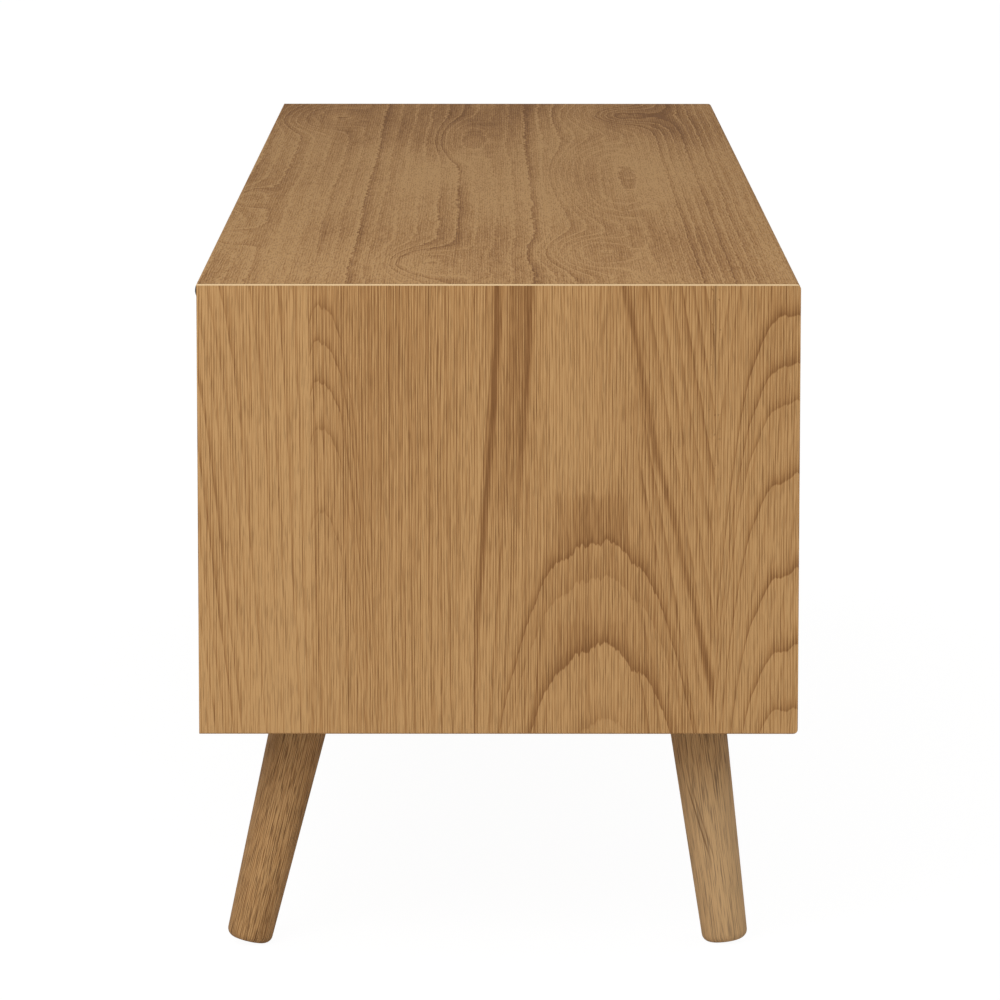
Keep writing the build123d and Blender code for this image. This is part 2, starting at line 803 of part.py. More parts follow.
knob_foot_radius = 7.5
knob_foot_thickness = 1.6
knob_neck_radius = 4.5
ball_centre = knob_projection - knob_ball_radius
ball_back = ball_centre - (knob_ball_radius**2 - knob_neck_radius**2) ** 0.5
knob_screw_head_height = 2
recess_length = 4.4
recess_width = 0.8
recess_depth = 1.1

# A ball on a short waisted neck, turned about the Y axis. It stands on y 0 and points forwards.
with BuildPart() as turned_knob:
    with BuildSketch(Plane.XY) as half_section:
        with BuildLine():
            Polyline((0, 0), (knob_foot_radius, 0), (knob_foot_radius, -knob_foot_thickness))
            ThreePointArc(
                (knob_foot_radius, -knob_foot_thickness),
                (knob_neck_radius + 0.9, -knob_foot_thickness - 0.9),
                (knob_neck_radius, -ball_back),
            )
            ThreePointArc(
                (knob_neck_radius, -ball_back),
                (knob_ball_radius, -ball_centre),
                (0, -knob_projection),
            )
            Line((0, -knob_projection), (0, 0))
        make_face()
    revolve(axis=Axis.Y)
    with Locations(Plane(origin=(0, 0, 0), z_dir=(0, -1, 0))):
        Cylinder(knob_screw_radius + fit, knob_screw_reach + 1, align=stand_up, mode=Mode.SUBTRACT)

# Its pan-head screw comes through a front from behind; y 0 is that front's outer face.
with BuildPart() as pan_head_screw:
    with Locations(Plane(origin=(0, front_thickness, 0), z_dir=(0, -1, 0))):
        Cylinder(knob_screw_radius, front_thickness + knob_screw_reach, align=stand_up)
        Cylinder(2 * knob_screw_radius, knob_screw_head_height, align=hang_down)
    fillet(pan_head_screw.faces().sort_by(Axis.Y)[-1].edges(), 0.8)
    with Locations(Plane(origin=(0, front_thickness + knob_screw_head_height, 0), z_dir=(0, -1, 0))):
        Box(recess_length, recess_width, recess_depth, align=stand_up, mode=Mode.SUBTRACT)
        Box(recess_width, recess_length, recess_depth, align=stand_up, mode=Mode.SUBTRACT)


def knob_hole(x, z):
    """The screw's hole through a front, cut from the active part."""
    with Locations(Plane(origin=(x, front, z), z_dir=(0, 1, 0))):
        Cylinder(knob_screw_radius + 0.2, front_thickness, align=stand_up, mode=Mode.SUBTRACT)


# ---------------------------------------------------------------- doors

door_height = door_top - door_bottom
strike_size = (28, strike_thickness, 11)
strike_z = inner_top - catch_size[2] / 2 - 1

for side, side_x in sides:
    hinge_edge = side_x * pivot_x
    free_edge = side_x * (side_bay_x + front_gap)
    strike_spot = [(side_x * catch_x, front_rear + strike_thickness, strike_z)]
    knob_place = (side_x * door_knob_x, front, door_knob_z)

    with BuildPart() as door_screw_holes:
        for z, inwards in door_pivots:
            rods(leaf_screw_spots(side_x, z), (0, 0, inwards), small_screw[0] + fit, small_screw_hole)
        rods(strike_spot, (0, -1, 0), small_screw[0] + fit, small_screw[1] + 1)

    with BuildPart() as door:
        with BuildSketch(Plane.XY.offset(door_bottom)) as door_outline:
            with Locations(((hinge_edge + free_edge) / 2, pivot_y)):
                Rectangle(abs(hinge_edge - free_edge), front_thickness)
            with Locations((hinge_edge, pivot_y)):
                Circle(front_thickness / 2)
        extrude(amount=door_height)
        free_face = door.faces().sort_by(Axis.X)[0 if side_x > 0 else -1]
        chamfer(free_face.edges().filter_by(Axis.Z), front_ease)
        add(door_leaf_recesses.part, mode=Mode.SUBTRACT)
        add(door_screw_holes.part, mode=Mode.SUBTRACT)
        knob_hole(side_x * door_knob_x, door_knob_z)
    door.part.label = f"{side}_door"
    export_step(door.part, f"parts/{side}_door.step")

    with BuildPart() as knob:
        with Locations(knob_place):
            add(turned_knob.part)
    knob.part.label = f"{side}_door_knob"
    export_step(knob.part, f"parts/{side}_door_knob.step")

    with BuildPart() as knob_screw:
        with Locations(knob_place):
            add(pan_head_screw.part)
    knob_screw.part.label = f"{side}_knob_screw"
    export_step(knob_screw.part, f"parts/{side}_knob_screw.step")

    with BuildPart() as strike_countersink:
        screw_holes(strike_spot, (0, -1, 0), *small_screw)

    with BuildPart() as strike:
        with Locations((side_x * catch_x, front_rear, strike_z)):
            Box(*strike_size, align=from_front)
        fillet(strike.edges().filter_by(Axis.Y), 2)
        add(strike_countersink.part, mode=Mode.SUBTRACT)
    strike.part.label = f"{side}_door_strike"
    export_step(strike.part, f"parts/{side}_door_strike.step")

    with BuildPart() as door_screws:
        for z, inwards in door_pivots:
            screws(leaf_screw_spots(side_x, z), (0, 0, inwards), *small_screw)
        screws(strike_spot, (0, -1, 0), *small_screw)
    door_screws.part.label = f"{side}_door_screws"
    export_step(door_screws.part, f"parts/{side}_door_screws.step")

# ---------------------------------------------------------------- drawer

box_side = 12
box_bottom_thickness = 6
box_height = 100
box_length = 340
box_bottom = inner_bottom + 14
box_top = box_bottom + box_height
box_x = centre_bay_x - rail_space
box_rear = front_rear + box_length
bottom_z = box_bottom + 10
groove = 6
groove_fit = 0.1
drawer_dowel_radius = 3
drawer_dowel_length = 24
drawer_dowel_in_front = 12
drawer_dowel_heights = (box_bottom + 30, box_top - 20)


def drawer_dowel_rods(radius, extra):
    """The drawer's dowels in the active part: sides into the front, and sides into the back."""
    rod_length = drawer_dowel_length + 2 * extra
    for side_x in side_signs:
        for z in drawer_dowel_heights:
            front_y = front_rear - drawer_dowel_in_front - extra
            front_spot = (side_x * (box_x - box_side / 2), front_y, z)
            rods([front_spot], (0, 1, 0), radius, rod_length)
            rear_spot = (side_x * (box_x - 4 + extra), box_rear - box_side / 2, z)
            rods([rear_spot], (-side_x, 0, 0), radius, rod_length)


with BuildPart() as drawer_dowels:
    drawer_dowel_rods(drawer_dowel_radius, 0)
drawer_dowels.part.label = "drawer_dowels"
export_step(drawer_dowels.part, "parts/drawer_dowels.step")

with BuildPart() as drawer_dowel_holes:
    drawer_dowel_rods(drawer_dowel_radius + fit, 0.5)

with BuildPart() as bottom_groove:
    with Locations((0, front_rear - groove, bottom_z - groove_fit)):
        Box(
            2 * (box_x - box_side + groove),
            box_length + groove + groove_fit,
            box_bottom_thickness + 2 * groove_fit,
            align=from_front_up,
        )

with BuildPart() as drawer_front:
    with Locations((0, front, inner_bottom + front_gap)):
        Box(
            centre_bay_width - 2 * front_gap,
            front_thickness,
            drawer_bay_top - inner_bottom - 2 * front_gap,
            align=from_front_up,
        )
    chamfer(drawer_front.faces().sort_by(Axis.Y)[0].edges(), front_ease)
    add(bottom_groove.part, mode=Mode.SUBTRACT)
    add(drawer_dowel_holes.part, mode=Mode.SUBTRACT)
    knob_hole(0, drawer_middle_z)
drawer_front.part.label = "drawer_front"
export_step(drawer_front.part, "parts/drawer_front.step")

for side, side_x in sides:
    with BuildPart() as drawer_side:
        with Locations((side_x * (box_x - box_side / 2), front_rear, box_bottom)):
            Box(box_side, box_length, box_height, align=from_front_up)
        fillet(drawer_side.faces().sort_by(Axis.Z)[-1].edges().filter_by(Axis.Y), 2)
        for holes in (bottom_groove, drawer_dowel_holes, drawer_rail_holes):
            add(holes.part, mode=Mode.SUBTRACT)
    drawer_side.part.label = f"drawer_{side}_side"
    export_step(drawer_side.part, f"parts/drawer_{side}_side.step")

with BuildPart() as drawer_back:
    back_panel_bottom = bottom_z + box_bottom_thickness + groove_fit
    with Locations((0, box_rear - box_side, back_panel_bottom)):
        Box(2 * (box_x - box_side), box_side, box_top - back_panel_bottom - 8, align=from_front_up)
    add(drawer_dowel_holes.part, mode=Mode.SUBTRACT)
drawer_back.part.label = "drawer_back"
export_step(drawer_back.part, "parts/drawer_back.step")

with BuildPart() as drawer_bottom:
    with Locations((0, front_rear - groove + groove_fit, bottom_z)):
        Box(
            2 * (box_x - box_side + groove - groove_fit),
            box_length + groove - groove_fit,
            box_bottom_thickness,
            align=from_front_up,
        )
drawer_bottom.part.label = "drawer_bottom"
export_step(drawer_bottom.part, "parts/drawer_bottom.step")

with BuildPart() as drawer_knob:
    with Locations((0, front, drawer_middle_z)):
        add(turned_knob.part)
drawer_knob.part.label = "drawer_knob"
export_step(drawer_knob.part, "parts/drawer_knob.step")

with BuildPart() as drawer_knob_screw:
    with Locations((0, front, drawer_middle_z)):
        add(pan_head_screw.part)
drawer_knob_screw.part.label = "drawer_knob_screw"
export_step(drawer_knob_screw.part, "parts/drawer_knob_screw.step")
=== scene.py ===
"""Looks of the media cabinet, in metres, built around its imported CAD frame.

The CAD nodes keep their shapes. This script gives each of them a procedural material, and adds
the floor, the light and the camera. Materials work in the frame's own coordinates: the grain of
a board is a field of growth rings that is cut by the board's face. Colours are linear RGB, and
the factors inside noise and cells are how many cells there are to a metre.
"""

import math

import bpy
from mathutils import Euler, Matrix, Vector


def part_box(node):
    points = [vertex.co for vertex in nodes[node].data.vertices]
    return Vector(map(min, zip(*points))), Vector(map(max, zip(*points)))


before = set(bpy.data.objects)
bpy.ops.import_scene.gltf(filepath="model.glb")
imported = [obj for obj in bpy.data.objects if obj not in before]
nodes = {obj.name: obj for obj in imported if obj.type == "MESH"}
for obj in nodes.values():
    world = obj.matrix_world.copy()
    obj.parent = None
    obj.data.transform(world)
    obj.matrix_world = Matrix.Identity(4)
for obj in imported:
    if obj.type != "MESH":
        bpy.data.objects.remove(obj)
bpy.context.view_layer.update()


# ---------------------------------------------------------------------------------------------
# A small language for shader nodes: values can be added, multiplied and compared like numbers.
# ---------------------------------------------------------------------------------------------

class Value:
    """One output of a shader node."""

    def __init__(self, graph, socket):
        self.graph = graph
        self.socket = socket

    def __add__(self, other):
        return self.graph.math("ADD", self, other)

    def __radd__(self, other):
        return self.graph.math("ADD", other, self)

    def __sub__(self, other):
        return self.graph.math("SUBTRACT", self, other)

    def __rsub__(self, other):
        return self.graph.math("SUBTRACT", other, self)

    def __mul__(self, other):
        return self.graph.math("MULTIPLY", self, other)

    def __rmul__(self, other):
        return self.graph.math("MULTIPLY", other, self)

    def __truediv__(self, other):
        return self.graph.math("DIVIDE", self, other)

    def __neg__(self):
        return self.graph.math("MULTIPLY", self, -1.0)

    def __pow__(self, other):
        return self.graph.math("POWER", self, other)

    def root(self):
        return self.graph.math("SQRT", self)

    def floor(self):
        return self.graph.math("FLOOR", self)

    def fraction(self):
        return self.graph.math("FRACT", self)

    def size(self):
        return self.graph.math("ABSOLUTE", self)

    def sine(self):
        return self.graph.math("SINE", self)

    def exponential(self):
        return self.graph.math("EXPONENT", self)

    def above(self, limit):
        return self.graph.math("GREATER_THAN", self, limit)

    def below(self, limit):
        return self.graph.math("LESS_THAN", self, limit)

    def at_least(self, limit):
        return self.graph.math("MAXIMUM", self, limit)


class Graph:
    """The nodes of one material, which ends in one Principled shader."""

    def __init__(self, name):
        self.material = bpy.data.materials.new(name)
        self.material.use_nodes = True
        self.tree = self.material.node_tree
        self.tree.nodes.clear()
        output = self.tree.nodes.new("ShaderNodeOutputMaterial")
        self.shader = self.tree.nodes.new("ShaderNodeBsdfPrincipled")
        self.tree.links.new(self.shader.outputs["BSDF"], output.inputs["Surface"])
        place = self.tree.nodes.new("ShaderNodeTexCoord")
        split = self.tree.nodes.new("ShaderNodeSeparateXYZ")
        self.tree.links.new(place.outputs["Object"], split.inputs["Vector"])
        self.x, self.y, self.z = (Value(self, split.outputs[i]) for i in range(3))

    def feed(self, socket, value):
        if isinstance(value, Value):
            self.tree.links.new(value.socket, socket)
        else:
            socket.default_value = value

    def math(self, operation, *values):
        node = self.tree.nodes.new("ShaderNodeMath")
        node.operation = operation
        for socket, value in zip(node.inputs, values):
            self.feed(socket, value)
        return Value(self, node.outputs[0])

    def point(self, x, y, z=0.0):
        node = self.tree.nodes.new("ShaderNodeCombineXYZ")
        for socket, value in zip(node.inputs, (x, y, z)):
            self.feed(socket, value)
        return Value(self, node.outputs[0])

    def noise(self, x, y, z, detail, roughness=0.5):
        """Smooth noise from about 0.2 to 0.8, whose cells are one unit of x, y and z across."""
        node = self.tree.nodes.new("ShaderNodeTexNoise")
        node.noise_dimensions = "3D"
        self.feed(node.inputs["Vector"], self.point(x, y, z))
        node.inputs["Scale"].default_value = 1.0
        node.inputs["Detail"].default_value = detail
        node.inputs["Roughness"].default_value = roughness
        return Value(self, node.outputs[0])

    def cells(self, x, y, z):
        """How far a place is from the middle of its grain, grains being about one unit across."""
        node = self.tree.nodes.new("ShaderNodeTexVoronoi")
        self.feed(node.inputs["Vector"], self.point(x, y, z))
        node.inputs["Scale"].default_value = 1.0
        return Value(self, node.outputs["Distance"])

    def random(self, number, seed):
        """A value from 0 to 1 that is the same wherever number is the same."""
        node = self.tree.nodes.new("ShaderNodeTexWhiteNoise")
        node.noise_dimensions = "2D"
        self.feed(node.inputs["Vector"], self.point(number, seed))
        return Value(self, node.outputs["Value"])

    def rise(self, value, low, high, bottom=0.0, top=1.0, smooth=True):
        """Goes from bottom to top as value goes from low to high, and stays there beyond."""
        node = self.tree.nodes.new("ShaderNodeMapRange")
        node.interpolation_type = "SMOOTHSTEP" if smooth else "LINEAR"
        self.feed(node.inputs["Value"], value)
        for name, number in zip(("From Min", "From Max", "To Min", "To Max"), (low, high, bottom, top)):
            self.feed(node.inputs[name], number)
        return Value(self, node.outputs[0])

    def fall(self, value, low, high):
        """Goes from 1 to 0 as value goes from low to high."""
        return self.rise(value, low, high, 1.0, 0.0)

    def band(self, value, low, full_low, full_high, high):
        """Goes up from 0 at low to 1 at full_low, and back down from full_high to high."""
        return self.rise(value, low, full_low) * self.fall(value, full_high, high)

    def ramp(self, value, *stops):
        """A colour that runs through the stops, each a place from 0 to 1 and a linear RGB colour."""
        node = self.tree.nodes.new("ShaderNodeValToRGB")
        self.feed(node.inputs["Fac"], value)
        elements = node.color_ramp.elements
        while len(elements) < len(stops):
            elements.new(0.5)
        for element, (place, colour) in zip(elements, stops):
            element.position = place
            element.color = (*colour, 1.0)
        return Value(self, node.outputs["Color"])

    def blend(self, share, first, second):
        """first where share is 0 and second where it is 1; both are colours."""
        node = self.tree.nodes.new("ShaderNodeMix")
        node.data_type = "RGBA"
        self.feed(node.inputs["Factor"], share)
        for name, colour in (("A", first), ("B", second)):
            socket = next(s for s in node.inputs if s.name == name and s.type == "RGBA")
            self.feed(socket, colour if isinstance(colour, Value) else (*colour, 1.0))
        return Value(self, next(s for s in node.outputs if s.type == "RGBA"))

    def bump(self, height, depth):
        """Raises the surface by depth metres where height is 1."""
        node = self.tree.nodes.new("ShaderNodeBump")
        node.inputs["Strength"].default_value = 1.0
        node.inputs["Distance"].default_value = depth
        self.feed(node.inputs["Height"], height)
        self.tree.links.new(node.outputs["Normal"], self.shader.inputs["Normal"])

    def finish(self, colour, roughness, **constants):
        """Links the colour and the roughness; the constants go straight on the shader's sockets."""
        self.feed(self.shader.inputs["Base Color"], colour)
        self.feed(self.shader.inputs["Roughness"], roughness)
        for name, number in constants.items():
            self.shader.inputs[name.replace("_", " ")].default_value = number
        return self.material


def paint(material, *names):
    """Gives these CAD nodes the material."""
    for name in names:
        for slot in nodes[name].material_slots:
            slot.material = material


# ---------------------------------------------------------------------------------------------
# Oak
# ---------------------------------------------------------------------------------------------

OAK_LIGHT = (0.565, 0.324, 0.132)
OAK_MIDDLE = (0.425, 0.219, 0.078)
OAK_DARK = (0.242, 0.106, 0.032)
OAK_PORE = (0.130, 0.055, 0.016)
# Pale oak: the colour the legs are blended towards, and the painted highlight on the eased corners.
OAK_PALE_AND_HIGHLIGHT = (0.800, 0.570, 0.320)

EDGE_HIGHLIGHT_WIDTH = 0.0005        # how wide the painted highlight is on the eased corner between the top and an end panel
PORE_LINE_PITCH = 0.00200
FINE_LINE_PITCH = 0.00145
PORE_DEPTH = 0.00012       # how deep the bump in the oak is


def pore_lines(g, across, along, pitch, pore_length, seed):
    """Fine lines of pores along the grain, pitch metres apart and broken here and there."""
    drift = g.noise(across * 60.0, along * 5.0, seed, 2.0)
    breaks = g.noise(across / pitch, along / pore_length, seed + 1.0, 1.0)
    return ((across / pitch + 2.6 * drift) * (2.0 * math.pi)).sine() * g.rise(breaks, 0.30, 0.62)


def oak_surface(g, across, along, dark, seed, tone=0.0, pore_length=0.013, contrast=1.0, lines=0.30):
    """Colours a face of oak, whose growth rings are given by dark, from 0 between them to 1 on them.

    across and along are the place on the face in metres, along being the way of the grain.
    tone darkens the whole face, and contrast is how strongly the pores show, each of which is
    about pore_length metres long. lines is the strength of the fine even lines that pores form.
    """
    fibres = g.noise(across * 330.0, along * 4.0, seed, 3.0, 0.62) - 0.5
    threads = g.noise(across * 1500.0, along / pore_length, seed + 3.1, 1.0) - 0.5
    clouds = g.noise(across * 22.0, along * 2.2, seed + 7.7, 2.0) - 0.5
    comb = (pore_lines(g, across, along, PORE_LINE_PITCH, 2.0 * pore_length, seed + 9.0)
            + 0.7 * pore_lines(g, across, along, FINE_LINE_PITCH, 1.5 * pore_length, seed + 12.0))
    pores = g.rise(g.noise(across * 1250.0, 1.1 * along / pore_length, seed + 6.3, 1.0), 0.52, 0.68)

    shade = (0.35 + tone + 0.90 * dark + 0.60 * fibres + 0.80 * contrast * threads
             + lines * comb + 0.50 * clouds)
    wood = g.ramp(shade, (0.0, OAK_LIGHT), (0.45, OAK_MIDDLE), (1.0, OAK_DARK))
    colour = g.blend(pores * (0.34 * contrast), wood, OAK_PORE)
    roughness = 0.58 + 0.14 * pores + 0.12 * fibres
    g.bump(0.5 + 0.3 * fibres + 0.3 * threads - 0.5 * pores - lines * comb, PORE_DEPTH)
    return colour, roughness


def ring_lines(g, rings, seed):
    """Growth rings from a field that counts one per ring: sharp below, fading upwards, each its own."""
    step = rings.fraction()
    strength = 0.25 + 0.75 * g.random(rings.floor(), seed)
    return ((1.0 - step) ** 2.4) * g.rise(step, 0.0, 0.08, 0.1, 1.0) * strength


def arch(g, across, along, tip, middle, half_width, drop, bluntness, fade, strength):
    """One growth ring of a flat-sawn leaf: an arch up the grain, sharp below and fading above.

    Its tip is at (middle, tip), and half_width to either side it has come down by drop.
    """
    sideways = ((across - middle).size() / half_width) ** bluntness
    above = along + drop * sideways - tip
    sharp = g.rise(above, -0.0006, 0.0010)
    return strength * sharp * (above.at_least(0.0) * (-1.0 / fade)).exponential()


def straight(across, along, lean, ring_width):
    """Rings of a quarter-sawn leaf: nearly parallel lines that lean a little."""
    return (across + lean * along) / ring_width


def hill(across, along, middle_across, middle_along, half_width, half_length, height, flatness):
    """A bump in the field of rings, which closes them into long loops round its middle.

    The greater its flatness, the closer the loops lie round its edge.
    """
    sideways = (across - middle_across) / half_width
    lengthways = (along - middle_along) / half_length
    from_middle = (sideways * sideways + lengthways * lengthways) ** flatness
    return height * (-from_middle).exponential()


def wander(g, across, along, seed, sideways=0.0040, lengthways=0.010, ragged=0.0055):
    """Bends the place on a leaf, so that its rings wander and their arches have ragged tips."""
    slow = g.noise(across * 10.0, along * 3.5, seed + 20.0, 2.0) - 0.5
    quick = g.noise(across * 60.0, along * 9.0, seed + 21.0, 1.0) - 0.5
    rise = g.noise(across * 18.0, along * 4.0, seed + 22.0, 2.0) - 0.5
    waves = g.noise(across * 85.0, along * 3.0, seed + 24.0, 1.0) - 0.5
    teeth = g.noise(across * 380.0, along * 2.0, seed + 23.0, 2.0) - 0.5
    return (across + 2.0 * sideways * slow + 0.35 * sideways * quick,
            along + 2.0 * lengthways * (rise + 0.80 * waves) + 2.0 * ragged * teeth)


# The end panels: four leaves of veneer side by side, counted from the cabinet's front edge. All
# their places are metres from the front edge and from the bottom of the panel.

SECOND_LEAF_START = 0.0745
THIRD_LEAF_START = 0.1835
THIRD_LEAF_MIDDLE = 0.262
FOURTH_LEAF_START = 0.3435

SECOND_LEAF_ARCHES = (     # tip, strength
    (0.289, 0.60), (0.265, 0.70), (0.237, 0.70), (0.205, 0.50), (0.148, 0.45))
FOURTH_LEAF_ARCHES = (
    (0.017, 0.75), (0.058, 0.85), (0.108, 0.90), (0.172, 0.80), (0.222, 0.65), (0.247, 0.80),
    (0.280, 0.90))
UPPER_ARCH = {"middle": 0.267, "half_width": 0.0350, "drop": 0.016, "bluntness": 3.0}
LOWER_ARCH = {"middle": 0.270, "half_width": 0.0420, "drop": 0.018, "bluntness": 4.0}
LOWEST_ARCH = {"middle": 0.272, "half_width": 0.0160, "drop": 0.010, "bluntness": 2.0}


def first_leaf(g, across, along):
    """Quarter-sawn: fine lines that lean towards the front as they rise."""
    rings = straight(across, along, 0.12 - 1.4 * across, 0.0056)
    return 0.80 * ring_lines(g, rings, 61.0)


def second_leaf(g, across, along):
    """Straight lines, with a stack of small arches near the first leaf."""
    dark = 0.55 * ring_lines(g, straight(across, along, 0.015, 0.0062), 62.0)
    for tip, strength in SECOND_LEAF_ARCHES:
        dark = dark.at_least(arch(g, across, along, tip, middle=0.083, half_width=0.0100, drop=0.018,
                                  bluntness=2.0, fade=0.0055, strength=strength))
    return dark


def beside_left_line(g, across, along):
    """How far a place is across the third leaf, measured along its bent left-hand line."""
    return across + g.rise(along, -0.020, 0.280, 0.017, 0.0)


def side_lines(g, across, along):
    """The third leaf's nearly straight lines, to the left and right of its arches."""
    beside = (across - THIRD_LEAF_MIDDLE).size()
    on_right = across.above(THIRD_LEAF_MIDDLE)
    upper = g.rise(along, 0.070, 0.230)

    flank = beside + along * (0.075 + 0.090 * on_right)
    dark = 0.80 * ring_lines(g, 40.0 - flank / 0.0078, 63.0) * g.rise(beside, 0.024, 0.036)

    left = beside_left_line(g, across, along)
    left_line = g.band(left, 0.1955, 0.1980, 0.1990, 0.2030)
    between = g.band(left, 0.2030, 0.2085, 0.2190, 0.2240)
    second_line = g.band(left, 0.2145, 0.2195, 0.2205, 0.2240)
    dark = dark.at_least(left_line * (0.70 + 0.15 * upper))
    dark = dark.at_least(between * upper * 0.42)
    dark = dark.at_least(second_line * upper * 0.74)

    right = beside + 0.190 * along + g.rise(along, 0.05, 0.22, -0.0045, 0.0025)
    right_line = g.band(right, 0.0765, 0.0800, 0.0805, 0.0850) * on_right
    return dark.at_least(right_line * (0.58 + 0.24 * g.rise(along, 0.12, 0.04)))


def third_leaf(g, across, along):
    """Nearly straight lines to the left and right, and two great arches between them."""
    dark = side_lines(g, across, along)
    tip_middle = 0.272
    to_left = (tip_middle - across).at_least(0.0)
    to_right = (across - tip_middle).at_least(0.0)
    upper_tip = 0.130 - 0.30 * to_left - 0.70 * to_right
    lower_tip = 0.061 - 0.60 * to_left - 0.95 * to_right
    for tip, form, fade, strength in (
            (upper_tip, UPPER_ARCH, 0.0095, 0.85),
            (upper_tip - 0.024, UPPER_ARCH, 0.018, 0.34),
            (lower_tip, LOWER_ARCH, 0.013, 0.90),
            (0.009, LOWEST_ARCH, 0.008, 0.30)):
        dark = dark.at_least(arch(g, across, along, tip, fade=fade, strength=strength, **form))

    # Dark wood runs on above the two great arches, as far as a blunt upper end.
    beside = (across - THIRD_LEAF_MIDDLE).size()
    above_upper = g.fall(along, 0.157, 0.166) * g.fall(beside, 0.018, 0.028)
    above_lower = g.fall(along, 0.070, 0.080) * g.fall(beside, 0.020, 0.032)
    for tip, form, strength, shown in (
            (upper_tip, UPPER_ARCH, 0.50, above_upper),
            (lower_tip, LOWER_ARCH, 0.46, above_lower)):
        dark = dark.at_least(shown * arch(g, across, along, tip, fade=0.060, strength=strength, **form))
    return dark


def fourth_leaf(g, across, along):
    """Quarter arches that rise towards the cabinet's rear edge."""
    dark = 0.50 * ring_lines(g, 30.0 + (across - 0.345 - 0.16 * along) / 0.0068, 64.0)
    for tip, strength in FOURTH_LEAF_ARCHES:
        dark = dark.at_least(arch(g, across, along, tip, middle=0.392, half_width=0.0280, drop=0.048,
                                  bluntness=2.67, fade=0.0075, strength=strength))
    return dark


def split_joint(g, colour, across, along):
    """A fine crack at the top of the joint beside the fourth leaf, and dark specks round it."""
    wobble = 0.0016 * (g.noise(along * 60.0, 0.0, 9.0, 2.0) - 0.5)
    from_joint = (across - FOURTH_LEAF_START - wobble).size()
    crack = g.fall(from_joint, 0.0003, 0.0010) * g.rise(along, 0.225, 0.245)
    specks = g.rise(g.noise(across * 420.0, along * 300.0, 6.0, 1.0), 0.66, 0.72)
    specks = specks * g.fall(from_joint, 0.002, 0.006) * g.rise(along, 0.12, 0.24)
    return g.blend((crack * 0.55).at_least(specks * 0.5), colour, OAK_PORE)


def end_panel_material(name, seed):
    """Four leaves of upright veneer, whose grain runs on round the panel's front edge.

    The left end mirrors the right, so the size of x serves both.
    """
    g = Graph(name)
    low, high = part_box("right_end_panel")
    across = g.y - low.y - (high.x - g.x.size())
    along = g.z - low.z
    bent_across, bent_along = wander(g, across, along, seed)
    smooth_along = wander(g, across, along, seed, ragged=0.0018)[1]

    in_second = across.above(SECOND_LEAF_START)
    in_third = across.above(THIRD_LEAF_START)
    in_fourth = across.above(FOURTH_LEAF_START)
    dark = (first_leaf(g, bent_across, bent_along) * (1.0 - in_second)
            + second_leaf(g, bent_across, bent_along) * (in_second - in_third)
            + third_leaf(g, bent_across, bent_along) * (in_third - in_fourth)
            + fourth_leaf(g, bent_across, smooth_along) * in_fourth)

    # Each leaf has its own tone and three places are paler. The panel is painted lighter at the bottom
    # and darker upwards: painted light and shade for the light that falls on its lower part.
    pale_strip = g.fall(beside_left_line(g, across, along), 0.1905, 0.1950) * in_third
    pale_edge = g.rise(across, 0.050, 0.070) * (1.0 - in_second)
    pale_middle = g.fall((across - 0.258).size(), 0.018, 0.034) * g.rise(along, 0.165, 0.180)
    tone = (-0.34 + 0.15 * in_second + 0.06 * in_third - 0.03 * in_fourth
            - 0.16 * pale_strip - 0.08 * pale_edge - 0.08 * pale_middle
            + g.rise(along, 0.0, 0.300, -0.12, 0.10, smooth=False))

    colour, roughness = oak_surface(g, across, along, dark, seed, tone, pore_length=0.019,
                                    contrast=0.85, lines=0.36)
    colour = split_joint(g, colour, across, along)
    # A painted highlight along the end panel's eased top corner.
    colour = g.blend((high.z - g.z).below(EDGE_HIGHLIGHT_WIDTH), colour, OAK_PALE_AND_HIGHLIGHT)
    return g.finish(colour, roughness, Specular_IOR_Level=0.18)


# The top: one wide figured leaf. Places are metres from the right-hand end and the front edge.

TOP_RING_WIDTH = 0.0140
TOP_HILLS = (              # along, across, half length, half width, height in rings, flatness
    (1.500, 0.308, 0.120, 0.034, 6.40, 1.0),
    (1.480, 0.040, 0.160, 0.036, 3.25, 1.6),
    (0.830, 0.282, 0.340, 0.036, 3.85, 2.5),
    (0.215, 0.262, 0.120, 0.030, 3.60, 1.5),
    (0.145, 0.147, 0.095, 0.026, 4.40, 1.0),
    (1.230, 0.172, 0.210, 0.022, 2.85, 1.5),
    (0.330, 0.004, 0.070, 0.018, 3.00, 1.0),
    (0.650, 0.008, 0.090, 0.016, 3.00, 1.0))
FIRST_RING = 300.0         # picks the rings' own strengths
PALE_LEAD = 0.16           # how far before each dark ring its pale line lies, in rings


